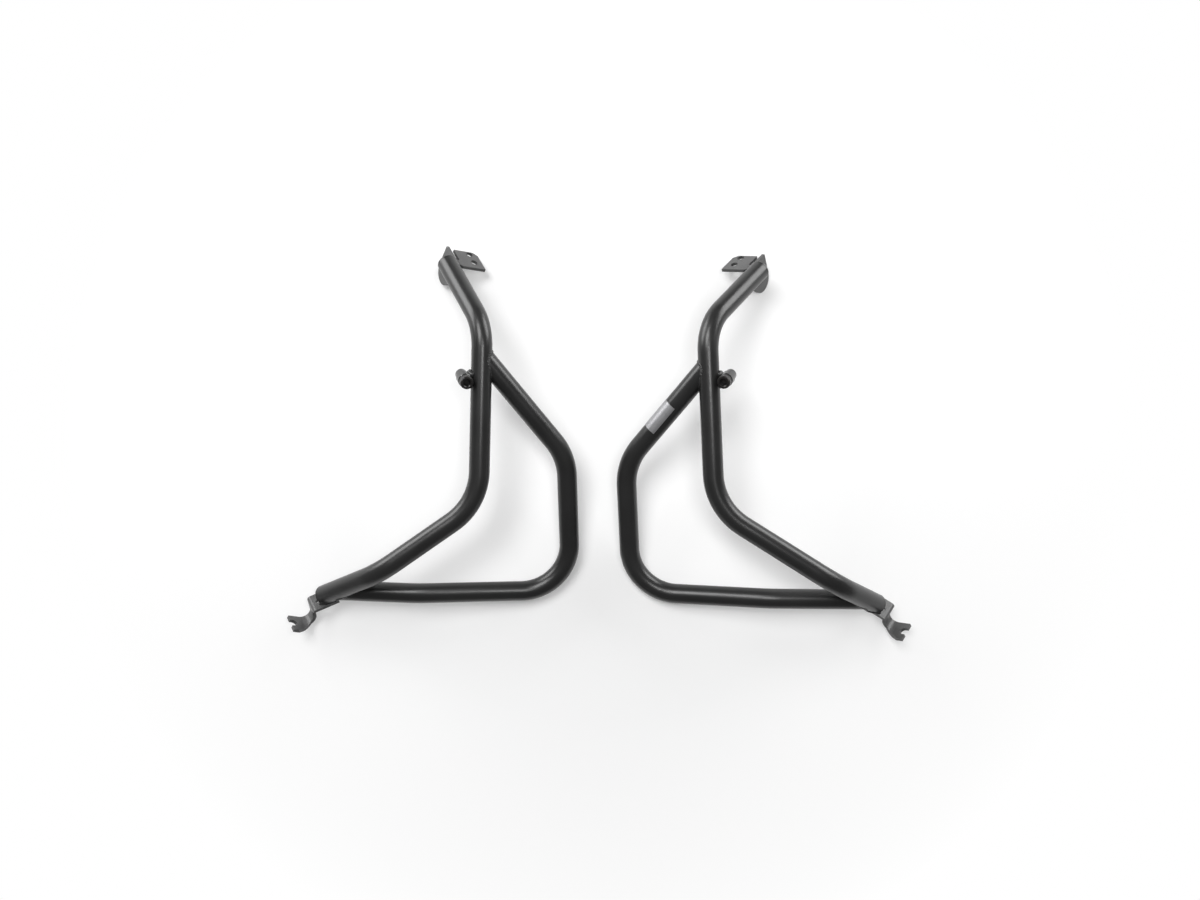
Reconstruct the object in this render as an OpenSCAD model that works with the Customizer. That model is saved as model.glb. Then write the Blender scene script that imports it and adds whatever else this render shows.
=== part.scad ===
// A pair of motorcycle crash bars, lying flat as a matched left and right set.
// Each bar is a bent main tube with a second tube welded on as a loop, a folded
// two-hole plate at the top, a hooked fork plate at the foot, and a bolt in a
// welded bush for the middle fixing. The right bar is given by points as seen in
// a mirror, so the same modules build both sides.

/* [Tube] */
// Outside diameter of the tubes
tube_d = 25; // [22:0.5:26]
// Wall thickness of the tubes
tube_wall = 2; // [1.5:0.1:3]
// Thickness of the discs that close the main tube's ends
cap_t = 3; // [2:0.5:4]

/* [Bends] */
// Centre line radius of the tight bends: the shoulder and the loop's low corner
tight_bend_r = 60; // [52:1:62]
// Centre line radius of the wide bends: the elbows and the loop's high corner
wide_bend_r = 78; // [70:1:85]
// Centre line radius of the slight bend in the loop's bottom run
slack_bend_r = 150; // [100:5:200]

/* [Left bar, centre line corners] */
// Top end of the main tube
left_top_end = [-191.1, 233.5, 42]; // [-400:0.1:400]
// Shoulder, where the top run turns down the side
left_shoulder = [-140, 148, 103]; // [-400:1:400]
// Elbow, where the side run turns outward
left_elbow = [-146.5, -65, 87.5]; // [-400:1:400]
// Ankle, the last bend before the foot
left_ankle = [-268, -149, 84]; // [-400:1:400]
// Foot end of the main tube
left_foot_end = [-351.9, -184.8, 22]; // [-400:0.1:400]
// Outer corner of the foot strap's plate, where the strap folds down
left_strap_corner = [-374.5, -188.5, 17.7]; // [-400:0.1:400]
// Direction of that plate outward along the strap
left_strap_out = [-0.856, -0.35, 0.38]; // [-1:0.001:1]
// Direction across the strap
left_strap_across = [0.515, -0.526, 0.677]; // [-1:0.001:1]
// High corner of the loop tube
left_loop_high = [-42, -8, 48.5]; // [-400:1:400]
// Low corner of the loop tube, resting on the ground
left_loop_low = [-37.8, -181, 5.3]; // [-400:0.1:400]
// Slight bend in the loop's bottom run
left_loop_kink = [-230, -181, 36.5]; // [-400:1:400]
// Middle of the bolt head's face
left_bolt_face = [-155.6, 78.2, 120]; // [-400:0.1:400]
// Middle of the bush's far end
left_bush_end = [-167.5, 91.5, 90]; // [-400:0.1:400]
// Roll of the top plate about the tube
left_top_roll = 46; // [0:1:60]

/* [Right bar, centre line corners, as seen in a mirror] */
// Top end of the main tube
right_top_end = [-199.7, 225.1, 41.7]; // [-400:0.1:400]
// Shoulder, where the top run turns down the side
right_shoulder = [-127, 148.5, 105.5]; // [-400:1:400]
// Elbow, where the side run turns outward
right_elbow = [-138, -70, 90.5]; // [-400:1:400]
// Ankle, the last bend before the foot
right_ankle = [-284.5, -162, 94]; // [-400:1:400]
// Foot end of the main tube
right_foot_end = [-350.8, -195, 28]; // [-400:0.1:400]
// Outer corner of the foot strap's plate, where the strap folds down
right_strap_corner = [-375.5, -197, 22.9]; // [-400:0.1:400]
// Direction of that plate outward along the strap
right_strap_out = [-0.802, -0.514, 0.304]; // [-1:0.001:1]
// Direction across the strap
right_strap_across = [0.589, -0.594, 0.548]; // [-1:0.001:1]
// High corner of the loop tube
right_loop_high = [-32, -16.5, 47]; // [-400:1:400]
// Low corner of the loop tube, resting on the ground
right_loop_low = [-40.8, -183.1, 5]; // [-400:0.1:400]
// Slight bend in the loop's bottom run
right_loop_kink = [-213, -187, 40.5]; // [-400:1:400]
// Middle of the bolt head's face
right_bolt_face = [-144.4, 78.8, 121]; // [-400:0.1:400]
// Middle of the bush's far end
right_bush_end = [-157.5, 91, 91]; // [-400:0.1:400]
// Roll of the top plate about the tube
right_top_roll = 47; // [0:1:60]

/* [Loop joints] */
// Where the loop leaves the side run, from shoulder (0) to elbow (1), left bar
left_loop_start = 0.163; // [0.1:0.001:0.3]
// The same on the right bar
right_loop_start = 0.216; // [0.1:0.001:0.3]
// Where the loop meets the foot run, from ankle (0) to foot (1), both bars
loop_finish = 0.79; // [0.6:0.01:0.85]
// How far the loop's ends sit below the main tube's centre line
loop_drop = 1.5; // [0.5:0.1:3]

/* [Plates] */
// Thickness of both folded plates
plate_t = 4; // [3:0.5:5]
// Width of the two-hole leaf
leaf_w = 31.5; // [28:0.5:34]
// Length of the two-hole leaf along the tube
leaf_l = 33.5; // [30:0.5:36]
// Fall of the leaf's end edges across its width
leaf_fall = 3; // [0:0.5:8]
// Gap between the leaf and the flange that carries it
leaf_gap = 4.2; // [3:0.1:7]
// Diameter of the two holes in the leaf
leaf_hole_d = 9; // [8:0.1:10.5]
// Spacing of the two holes in the leaf
leaf_hole_pitch = 16.5; // [14:0.5:18]
// Width of the flange welded to the tube's side
flange_w = 36; // [30:1:38]
// Depth of the flange's rounded end below the tube's centre line
flange_depth = 39; // [34:0.5:42]
// How far from the tube's centre line the flange cuts into its side
flange_x = 9; // [8:0.1:10]
// Width of the foot strap
strap_w = 27.5; // [24:0.5:30]
// Width left at the strap's waist, between its plate and its fork
waist_w = 15; // [13:0.5:20]
// Inner radius of the strap's hook
hook_r = 9.5; // [7:0.5:11]
// Width of the fork's open slot
fork_slot_w = 10.5; // [8.5:0.5:11]
// Depth of the fork's open slot
fork_slot_l = 8; // [6:0.5:10]

/* [Bolt and bush] */
// Bolt diameter
bolt_d = 10; // [8:1:10]
// Length of the bolt below its head
bolt_l = 30; // [28:1:40]
// Bolt head diameter
head_d = 16; // [14:1:17]
// Bolt head height
head_h = 10; // [8:1:10]
// Width across the flats of the hexagon socket
socket_af = 8; // [6:0.5:8.5]
// Depth of the hexagon socket
socket_h = 5; // [4:0.5:6]
// Bore of the bush
bush_bore_d = 10.5; // [10.2:0.1:11]
// Diameter of the bush where it is welded on
bush_d = 17; // [16:0.5:18]
// Length of the bush's wide part
bush_wide_l = 13; // [10:1:15]
// Diameter of the bush's nose
nose_d = 14; // [13:0.5:15]

/* [Welds] */
// Leg length of the weld fillets
weld_leg = 2.4; // [1.5:0.1:3]

/* [Hidden] */
$fn = 64;

tube_r = tube_d / 2;
bore_r = tube_r - tube_wall;
middle = [-1.02, 8.97, -0.02];
paint = [0.13, 0.13, 0.135];
plate_paint = [0.2, 0.2, 0.205];
bolt_black = [0.1, 0.1, 0.1];

// Directions and frames

function unit(v) = v / norm(v);
function between(a, b, part) = a + (b - a) * part;
function turn(a, b) = acos(unit(a) * unit(b));

// The matrix that carries the local axes onto x, y and z directions at a point
function frame(x, y, z, p) = [
    [x[0], y[0], z[0], p[0]],
    [x[1], y[1], z[1], p[1]],
    [x[2], y[2], z[2], p[2]],
    [0, 0, 0, 1]
];

// Local z along a direction, local x level with the ground
function along(dir, p) =
    let (z = unit(dir), x = unit(cross([0, 0, 1], z)), y = cross(z, x))
    frame(x, y, z, p);

// The points of each side

function pick(side, l, r) = side == "left" ? l : r;
function top_end(side) = pick(side, left_top_end, right_top_end);
function shoulder(side) = pick(side, left_shoulder, right_shoulder);
function elbow(side) = pick(side, left_elbow, right_elbow);
function ankle(side) = pick(side, left_ankle, right_ankle);
function foot_end(side) = pick(side, left_foot_end, right_foot_end);
function loop_high(side) = pick(side, left_loop_high, right_loop_high);
function loop_low(side) = pick(side, left_loop_low, right_loop_low);
function loop_kink(side) = pick(side, left_loop_kink, right_loop_kink);
function bolt_face(side) = pick(side, left_bolt_face, right_bolt_face);
function bush_end(side) = pick(side, left_bush_end, right_bush_end);
function strap_corner(side) = pick(side, left_strap_corner, right_strap_corner);
function strap_out(side) = unit(pick(side, left_strap_out, right_strap_out));
function strap_across(side) = pick(side, left_strap_across, right_strap_across);
function top_roll(side) = pick(side, left_top_roll, right_top_roll);
function loop_start(side) =
    between(shoulder(side), elbow(side), pick(side, left_loop_start, right_loop_start))
    - [0, 0, loop_drop];
function loop_end(side) = between(ankle(side), foot_end(side), loop_finish) - [0, 0, loop_drop];

function main_points(side) =
    [top_end(side), shoulder(side), elbow(side), ankle(side), foot_end(side)];
function main_radii() = [0, tight_bend_r, wide_bend_r, wide_bend_r, 0];
function loop_points(side) =
    [loop_start(side), loop_high(side), loop_low(side), loop_kink(side), loop_end(side)];
function loop_radii() = [0, wide_bend_r, tight_bend_r, slack_bend_r, 0];

// How far a bend eats into the runs on each side of its corner
function setback(pts, radii, i) =
    i == 0 || i == len(pts) - 1 ? 0
    : radii[i] * tan(turn(pts[i] - pts[i - 1], pts[i + 1] - pts[i]) / 2);

// A bar's whole set stands where its side belongs
module on_side(side) {
    translate(-middle)
        if (side == "left") children();
        else mirror([1, 0, 0]) children();
}

// Round rod along a run of corners joined by circular bends. A bend is a hair
// fatter than the runs, which reach a little way into it.

lap = 1;
bend_swell = 0.05;

module rod_run(pts, radii, i, r, start_extra, end_extra) {
    dir = unit(pts[i + 1] - pts[i]);
    from = pts[i] + dir * (i == 0 ? -start_extra : setback(pts, radii, i) - lap);
    to = pts[i + 1] - dir * (i == len(pts) - 2 ? -end_extra : setback(pts, radii, i + 1) - lap);
    multmatrix(along(dir, from)) cylinder(h = norm(to - from), r = r);
}

module rod_bend(pts, radii, i, r) {
    d0 = unit(pts[i] - pts[i - 1]);
    d1 = unit(pts[i + 1] - pts[i]);
    inward = unit(d1 - d0 * (d0 * d1));
    start = pts[i] - d0 * setback(pts, radii, i);
    multmatrix(frame(-inward, d0, cross(-inward, d0), start + inward * radii[i]))
        rotate_extrude(angle = turn(d0, d1), start = 0) translate([radii[i], 0]) circle(r + bend_swell);
}

module rod(pts, radii, r, start_extra = 0, end_extra = 0) {
    for (i = [0 : len(pts) - 2]) rod_run(pts, radii, i, r, start_extra, end_extra);
    for (i = [1 : len(pts) - 2]) rod_bend(pts, radii, i, r);
}

// Main tube, notched for the flange at the top and seated on the strap at the foot

module main_rod(side, r, start_extra = 0, end_extra = 0) {
    rod(main_points(side), main_radii(), r, start_extra, end_extra);
}

module main_tube(side) {
    color(paint) on_side(side) difference() {
        main_rod(side, tube_r);
        main_rod(side, bore_r, 1, 1);
        beside_flange(side);
        below_strap_top(side);
    }
}

// Discs welded over the main tube's two ends

module top_cap(side) {
    color(paint) on_side(side) difference() {
        in_top_frame(side) cylinder(h = cap_t, r = tube_r);
        beside_flange(side);
    }
}

module foot_cap(side) {
    color(paint) on_side(side) difference() {
        multmatrix(along(foot_end(side) - ankle(side), foot_end(side))) cylinder(h = cap_t, r = tube_r);
        below_strap_top(side);
    }
}

// Loop tube, both its ends shaped to sit on the main tube's straight runs

module loop_tube(side) {
    color(paint) on_side(side) difference() {
        rod(loop_points(side), loop_radii(), tube_r);
        rod(loop_points(side), loop_radii(), bore_r, 1, 1);
        straight_rod(shoulder(side), elbow(side), tube_r);
        straight_rod(ankle(side), foot_end(side), tube_r);
    }
}

module straight_rod(from, to, r) {
    multmatrix(along(to - from, from)) cylinder(h = norm(to - from), r = r);
}

// A fillet where the loop's run meets the main tube, left after both are taken out
module crossing_fillet(side, from, to) {
    dir = unit(to - from);
    color(paint) on_side(side) difference() {
        intersection() {
            multmatrix(along(dir, from)) cylinder(h = norm(to - from), r = tube_r + weld_leg);
            main_rod(side, tube_r + weld_leg);
        }
        multmatrix(along(dir, from - dir)) cylinder(h = norm(to - from) + 2, r = tube_r);
        main_rod(side, tube_r);
    }
}

module loop_start_weld(side) {
    crossing_fillet(side, loop_start(side), between(loop_start(side), loop_high(side), 0.5));
}

module loop_finish_weld(side) {
    crossing_fillet(side, loop_end(side), between(loop_end(side), loop_kink(side), 0.7));
}

// Top plate: a flange on the tube's side and a leaf with two holes, one folded piece.
// Its frame has z along the tube to its end, x through the flange, y down the flange.

module in_top_frame(side) {
    multmatrix(along(top_end(side) - shoulder(side), top_end(side))) rotate([0, 0, top_roll(side) + 180])
        children();
}

flange_top = -4.6;
flange_back = -4;
flange_front = flange_back + flange_w;
leaf_x = flange_x + plate_t + leaf_gap;
leaf_front = 26.5;
neck_l = 9;

module beside_flange(side) {
    in_top_frame(side) translate([flange_x, -40, flange_back]) cube([40, 80, 80]);
}

module flange() {
    round_r = flange_w / 2;
    translate([flange_x, 0, 0]) rotate([0, 90, 0]) linear_extrude(plate_t) {
        translate([-flange_front, flange_top])
            square([flange_w, flange_depth - round_r - flange_top]);
        translate([-flange_front + round_r, flange_depth - round_r]) circle(round_r);
    }
}

module leaf() {
    back = leaf_front - leaf_l;
    corner = 5.5;
    rotate([90, 0, 0]) linear_extrude(plate_t) polygon([
        [leaf_x, leaf_front],
        [leaf_x + leaf_w - corner, leaf_front - leaf_fall + corner * leaf_fall / leaf_w],
        [leaf_x + leaf_w, leaf_front - leaf_fall - corner],
        [leaf_x + leaf_w, back - leaf_fall],
        [leaf_x, back],
        [tube_r + 0.5, flange_back],
        [flange_x + plate_t / 2, flange_back],
        [flange_x + plate_t / 2, flange_back + neck_l],
        [leaf_x, flange_back + neck_l]
    ]);
}

function leaf_hole(i) = [leaf_x + leaf_w * 0.64, 19.5 - i * leaf_hole_pitch];

module top_plate(side) {
    color(plate_paint) on_side(side) in_top_frame(side) difference() {
        union() {
            flange();
            translate([0, flange_top + plate_t, 0]) leaf();
        }
        for (i = [0, 1])
            translate([leaf_hole(i)[0], 0, leaf_hole(i)[1]]) rotate([90, 0, 0])
                cylinder(h = 20, d = leaf_hole_d, center = true);
    }
}

// Two beads along the flange: one over its top edge, one under the tube

module top_plate_weld(side) {
    from = flange_back + 1;
    color(paint) on_side(side) in_top_frame(side) translate([0, 0, from]) linear_extrude(cap_t - from) {
        difference() {
            translate([flange_x + 0.8, flange_top - 0.9]) circle(3.9);
            translate([flange_x - 20, -30]) square([20, 60]);
            translate([flange_x - 20, flange_top]) square([40, 20]);
        }
        difference() {
            translate([flange_x - 1.3, 11.2]) circle(2.8);
            circle(tube_r);
            translate([flange_x, 0]) square(20);
        }
    }
}

// Foot strap: a plate under the tube's end, folded down, hooked round and slotted.
// Its frame has x outward, y up and z across the strap towards the low end of the bar.

plate_len = 32;
leg_angle = 88;
leg_len = 18;
rise_angle = 40.5;
rise_len = 15.4;

module in_strap_frame(side) {
    x = strap_out(side);
    z = unit(strap_across(side) - x * (strap_across(side) * x));
    multmatrix(frame(x, cross(x, z), z, strap_corner(side))) children();
}

module below_strap_top(side) {
    in_strap_frame(side) translate([-60, -80, -60]) cube([120, 80, 150]);
}

hook_mid_r = hook_r + plate_t / 2;
leg_end = [leg_len * cos(leg_angle), -leg_len * sin(leg_angle)];
hook_centre = leg_end + hook_mid_r * [sin(leg_angle), cos(leg_angle)];
rise_start = hook_centre + hook_mid_r * [sin(rise_angle), -cos(rise_angle)];

module bar_2d(from, angle, length) {
    translate(from) rotate(angle) translate([0, -plate_t / 2]) square([length, plate_t]);
}

module strap_outline() {
    translate([0, -plate_t / 2]) {
        bar_2d([-plate_len, 0], 0, plate_len);
        circle(plate_t / 2 + bend_swell);
        bar_2d([0, 0], -leg_angle, leg_len + lap / 2);
        translate(hook_centre) intersection() {
            difference() {
                circle(hook_r + plate_t + bend_swell);
                circle(hook_r - bend_swell);
            }
            hook_sector();
        }
        bar_2d(rise_start - lap / 2 * [cos(rise_angle), sin(rise_angle)], rise_angle, rise_len);
    }
}

// The part of the hook's ring between the leg and the rise
module hook_sector() {
    far = 40;
    polygon([
        [0, 0],
        far * [-sin(leg_angle), -cos(leg_angle)],
        far * [-sin(leg_angle) - 0.2, -1.6],
        far * [sin(rise_angle) + 0.2, -1.6],
        far * [sin(rise_angle), -cos(rise_angle)]
    ]);
}

module fork_slot() {
    tip = rise_start + rise_len * [cos(rise_angle), sin(rise_angle)];
    translate([tip[0], tip[1] - plate_t / 2, strap_w / 2]) rotate([0, 0, rise_angle]) rotate([90, 0, 0]) {
        translate([fork_slot_w / 2 - fork_slot_l, 0, 0])
            cylinder(h = 12, d = fork_slot_w, center = true);
        translate([fork_slot_w / 2 - fork_slot_l, -fork_slot_w / 2, -6])
            cube([fork_slot_l, fork_slot_w, 12]);
    }
}

// What the blank loses beside the leg, and beside the hook up to the fork
module beside_waist() {
    beyond = strap_w + 20;
    taper_end = leg_len * 2 / 3;
    translate([hook_r, 0, 0]) rotate([0, -90, 0]) linear_extrude(2 * hook_r) polygon([
        [strap_w, -plate_t],
        [waist_w, -taper_end],
        [waist_w, -taper_end - lap],
        [beyond, -taper_end - lap],
        [beyond, -plate_t]
    ]);
    translate([0, -taper_end, 0]) rotate([90, 0, 0]) linear_extrude(60) polygon([
        [-hook_r, waist_w],
        [hook_centre[0] - 4, waist_w],
        [rise_start[0] + 6, strap_w],
        [rise_start[0] + 6, beyond],
        [-hook_r, beyond]
    ]);
}

module foot_strap(side) {
    color(plate_paint) on_side(side) in_strap_frame(side) difference() {
        linear_extrude(strap_w) strap_outline();
        beside_waist();
        fork_slot();
        translate([-8.3, 0, strap_w / 2]) rotate([90, 0, 0]) cylinder(h = 20, d = 5, center = true);
    }
}

// A low collar round the tube's end where it sits on the strap

module foot_strap_weld(side) {
    dir = unit(foot_end(side) - ankle(side));
    end = foot_end(side) + dir * cap_t;
    color(paint) on_side(side) difference() {
        intersection() {
            multmatrix(along(dir, end - dir * 30)) cylinder(h = 30 + weld_leg, r = tube_r + weld_leg);
            in_strap_frame(side) translate([-plate_len, 0, 0]) cube([plate_len, weld_leg, strap_w]);
        }
        multmatrix(along(dir, end - dir * 40)) cylinder(h = 40, r = tube_r);
    }
}

// Bush for the middle fixing, welded to the side run, and its socket head bolt.
// Their frame has z along the bolt, from the seat under its head to its end.

module in_bolt_frame(side) {
    dir = unit(bush_end(side) - bolt_face(side));
    multmatrix(along(dir, bolt_face(side) + dir * head_h)) children();
}

function bush_l(side) = norm(bush_end(side) - bolt_face(side)) - head_h;

module bolt_bush(side) {
    color(paint) on_side(side) difference() {
        in_bolt_frame(side) difference() {
            union() {
                cylinder(h = bush_wide_l, d = bush_d);
                cylinder(h = bush_l(side), d = nose_d);
            }
            translate([0, 0, -1]) cylinder(h = bush_l(side) + 2, d = bush_bore_d);
        }
        main_rod(side, tube_r);
    }
}

module bolt(side) {
    color(bolt_black) on_side(side) in_bolt_frame(side) difference() {
        union() {
            translate([0, 0, -head_h]) cylinder(h = head_h, d = head_d);
            cylinder(h = bolt_l, d = bolt_d);
        }
        translate([0, 0, -head_h - 1]) cylinder(h = socket_h + 1, d = socket_af / cos(30), $fn = 6);
    }
}

// Weld bridging the bush and the side run

module bush_weld(side) {
    color(paint) on_side(side) difference() {
        intersection() {
            in_bolt_frame(side) translate([0, 0, 2]) cylinder(h = bush_wide_l - 3, r = bush_d / 2 + weld_leg);
            main_rod(side, tube_r + weld_leg);
        }
        in_bolt_frame(side) cylinder(h = bush_wide_l, d = bush_d);
        main_rod(side, tube_r);
    }
}

// Nodes

main_tube("left");  // left_main_tube
loop_tube("left");  // left_loop_tube
top_cap("left");  // left_top_cap
foot_cap("left");  // left_foot_cap
top_plate("left");  // left_top_plate
foot_strap("left");  // left_foot_strap
bolt_bush("left");  // left_bolt_bush
bolt("left");  // left_bolt
loop_start_weld("left");  // left_loop_start_weld
loop_finish_weld("left");  // left_loop_finish_weld
top_plate_weld("left");  // left_top_plate_weld
foot_strap_weld("left");  // left_foot_strap_weld
bush_weld("left");  // left_bush_weld
main_tube("right");  // right_main_tube
loop_tube("right");  // right_loop_tube
top_cap("right");  // right_top_cap
foot_cap("right");  // right_foot_cap
top_plate("right");  // right_top_plate
foot_strap("right");  // right_foot_strap
bolt_bush("right");  // right_bolt_bush
bolt("right");  // right_bolt
loop_start_weld("right");  // right_loop_start_weld
loop_finish_weld("right");  // right_loop_finish_weld
top_plate_weld("right");  // right_top_plate_weld
foot_strap_weld("right");  // right_foot_strap_weld
bush_weld("right");  // right_bush_weld
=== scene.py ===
from math import ceil, cos, pi, radians, sin, sqrt, tan

import bmesh
import bpy
from mathutils import Matrix, Vector


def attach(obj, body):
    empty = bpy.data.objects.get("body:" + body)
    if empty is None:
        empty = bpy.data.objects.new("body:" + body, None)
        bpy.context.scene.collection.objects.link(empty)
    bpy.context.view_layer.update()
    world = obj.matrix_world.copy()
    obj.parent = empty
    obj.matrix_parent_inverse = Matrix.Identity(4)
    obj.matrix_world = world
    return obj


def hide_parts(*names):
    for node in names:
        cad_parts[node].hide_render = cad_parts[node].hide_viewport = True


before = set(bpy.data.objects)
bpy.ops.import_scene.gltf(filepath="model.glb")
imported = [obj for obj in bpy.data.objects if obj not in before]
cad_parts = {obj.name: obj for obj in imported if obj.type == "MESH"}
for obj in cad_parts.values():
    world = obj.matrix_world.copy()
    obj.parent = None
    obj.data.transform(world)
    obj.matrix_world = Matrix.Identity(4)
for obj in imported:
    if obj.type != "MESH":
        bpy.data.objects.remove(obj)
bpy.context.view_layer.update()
scene = bpy.context.scene
print("crash bars: frame loaded,", len(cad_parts), "nodes")

# Lengths in the dictionaries are in millimetres, as in the part's own source.
# Only the studio's are in metres. The right bar's points are those seen in a mirror.
layout = {"middle": (-1.02, 8.97, -0.02), "cameraHeight": 1200, "lens": 27.645}

tube = {
    "radius": 12.5,
    "sides": 72,
    "tightBend": 60,
    "wideBend": 78,
    "slackBend": 150,
    "bendStep": 3.5,
    "loopDrop": 1.5,
    "capThickness": 3,
    "capRound": 1.1,
    "capTuck": 0.5,
    "capInset": 0.2,
    "capDish": 4,
    "capCrown": 0.3,
    "footSink": 0.8,
}

bars = {
    "left": {
        "mirror": 1,
        "topEnd": (-191.1, 233.5, 42),
        "shoulder": (-140, 148, 103),
        "elbow": (-146.5, -65, 87.5),
        "ankle": (-268, -149, 84),
        "footEnd": (-351.9, -184.8, 22),
        "loopHigh": (-42, -8, 48.5),
        "loopLow": (-37.8, -181, 5.3),
        "loopKink": (-230, -181, 36.5),
        "boltFace": (-155.6, 78.2, 120),
        "bushEnd": (-167.5, 91.5, 90),
        "strapCorner": (-374.5, -188.5, 17.7),
        "strapOut": (-0.856, -0.35, 0.38),
        "strapAcross": (0.515, -0.526, 0.677),
        "loopStart": 0.163,
        "loopFinish": 0.79,
        "topRoll": 46,
    },
    "right": {
        "mirror": -1,
        "topEnd": (-199.7, 225.1, 41.7),
        "shoulder": (-127, 148.5, 105.5),
        "elbow": (-138, -70, 90.5),
        "ankle": (-284.5, -162, 94),
        "footEnd": (-350.8, -195, 28),
        "loopHigh": (-32, -16.5, 47),
        "loopLow": (-40.8, -183.1, 5),
        "loopKink": (-213, -187, 40.5),
        "boltFace": (-144.4, 78.8, 121),
        "bushEnd": (-157.5, 91, 91),
        "strapCorner": (-375.5, -197, 22.9),
        "strapOut": (-0.802, -0.514, 0.304),
        "strapAcross": (0.589, -0.594, 0.548),
        "loopStart": 0.216,
        "loopFinish": 0.79,
        "topRoll": 47,
    },
}
for bar in bars.values():
    for name, value in bar.items():
        if isinstance(value, tuple):
            bar[name] = Vector(value)

# Camera straight above the pair, at the photograph's distance
cameraData = bpy.data.cameras.new("camera")
cameraData.lens = layout["lens"]
cameraData.clip_end = 50
camera = bpy.data.objects.new("camera", cameraData)
scene.collection.objects.link(camera)
camera.location = (Vector((0, 0, layout["cameraHeight"])) - Vector(layout["middle"])) / 1000
scene.camera = camera
scene.view_settings.view_transform = "Standard"


# Shader maths: a wrapped socket that takes + - * with numbers and other sockets
class Wire:
    def __init__(self, shader, socket):
        self.shader = shader
        self.socket = socket

    def maths(self, operation, first, second):
        node = self.shader.add("ShaderNodeMath", {"operation": operation}, {0: first, 1: second})
        return Wire(self.shader, node.outputs[0])

    def __add__(self, other):
        return self.maths("ADD", self, other)

    def __radd__(self, other):
        return self.maths("ADD", other, self)

    def __sub__(self, other):
        return self.maths("SUBTRACT", self, other)

    def __rsub__(self, other):
        return self.maths("SUBTRACT", other, self)

    def __mul__(self, other):
        return self.maths("MULTIPLY", self, other)

    def __rmul__(self, other):
        return self.maths("MULTIPLY", other, self)


class Shader:
    def __init__(self, owner):
        self.owner = owner
        if hasattr(owner, "use_nodes"):
            owner.use_nodes = True
        self.tree = owner.node_tree
        self.tree.nodes.clear()

    def add(self, kind, settings=None, values=None):
        node = self.tree.nodes.new(kind)
        for name, value in (settings or {}).items():
            if name == "stops":
                ramp = node.color_ramp.elements
                while len(ramp) < len(value):
                    ramp.new(0.5)
                for stop, (position, shade) in zip(ramp, value):
                    stop.position = position
                    stop.color = shade if isinstance(shade, tuple) else (shade, shade, shade, 1)
            else:
                setattr(node, name, value)
        for name, value in (values or {}).items():
            if isinstance(value, Wire):
                self.tree.links.new(value.socket, node.inputs[name])
            else:
                node.inputs[name].default_value = value
        return node

    def wire(self, kind, settings=None, values=None, output=0):
        return Wire(self, self.add(kind, settings, values).outputs[output])

    def place(self):
        return self.wire("ShaderNodeTexCoord", output="Object")

    def noise(self, place, scale, detail=2, roughness=0.5):
        values = {"Vector": place, "Scale": scale, "Detail": detail, "Roughness": roughness}
        return self.wire("ShaderNodeTexNoise", None, values, "Fac")

    def ramp(self, value, *stops):
        return self.wire("ShaderNodeValToRGB", {"stops": stops}, {"Fac": value}, "Color")

    # Heights in millimetres
    def bump(self, height):
        return self.wire("ShaderNodeBump", None, {"Strength": 1.0, "Distance": 0.001, "Height": height})

    # The share picks the second of two shaders
    def mix(self, share, first, second):
        mixed = self.add("ShaderNodeMixShader", None, {0: share})
        self.tree.links.new(first.outputs[0], mixed.inputs[1])
        self.tree.links.new(second.outputs[0], mixed.inputs[2])
        return mixed


def newMaterial(name):
    shader = Shader(bpy.data.materials.new(name))
    output = shader.add("ShaderNodeOutputMaterial")
    return shader, output


def closeMaterial(shader, output, surface):
    node = shader.add("ShaderNodeBsdfPrincipled", None, surface)
    shader.tree.links.new(node.outputs[0], output.inputs["Surface"])
    return shader.owner


# A coat of powder paint: two mixed shades, an orange peel bump and fine specks
def powderCoat(name, coat):
    shader, output = newMaterial(name)
    place = shader.place()
    patches = shader.noise(place, coat["patchScale"], 3)
    peel = shader.noise(place, coat["peelScale"], 2)
    grain = shader.noise(place, coat["grainScale"], 1)
    shade = shader.ramp(patches, (0.3, coat["dark"]), (0.7, coat["light"]))
    rough = (
        coat["roughness"]
        + (patches - 0.5) * coat["roughnessVariation"]
        + (grain - 0.5) * coat["grainGloss"]
    )
    height = peel * coat["peelDepth"] + grain * coat["grainDepth"]
    surface = {
        "Base Color": shade,
        "Roughness": rough,
        "Normal": shader.bump(height),
        "IOR": coat["ior"],
    }
    return closeMaterial(shader, output, surface)


coats = {
    "tube": {
        "dark": 0.010,
        "light": 0.015,
        "roughness": 0.31,
        "roughnessVariation": 0.08,
        "grainGloss": 0.05,
        "patchScale": 18,
        "peelScale": 620,
        "grainScale": 2600,
        "peelDepth": 0.030,
        "grainDepth": 0.012,
        "ior": 1.5,
    },
    "bracket": {
        "dark": 0.050,
        "light": 0.068,
        "roughness": 0.34,
        "roughnessVariation": 0.12,
        "grainGloss": 0.14,
        "patchScale": 60,
        "peelScale": 900,
        "grainScale": 2400,
        "peelDepth": 0.10,
        "grainDepth": 0.06,
        "ior": 1.5,
    },
    "weld": {
        "dark": 0.011,
        "light": 0.020,
        "roughness": 0.30,
        "roughnessVariation": 0.10,
        "grainGloss": 0.06,
        "patchScale": 120,
        "peelScale": 1100,
        "grainScale": 2600,
        "peelDepth": 0.05,
        "grainDepth": 0.01,
        "ior": 1.5,
    },
    "bush": {
        "dark": 0.008,
        "light": 0.012,
        "roughness": 0.16,
        "roughnessVariation": 0.05,
        "grainGloss": 0.04,
        "patchScale": 90,
        "peelScale": 900,
        "grainScale": 2600,
        "peelDepth": 0.03,
        "grainDepth": 0.008,
        "ior": 1.55,
    },
}
coatOf = {name: powderCoat(name + "PowderCoat", coat) for name, coat in coats.items()}


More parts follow.
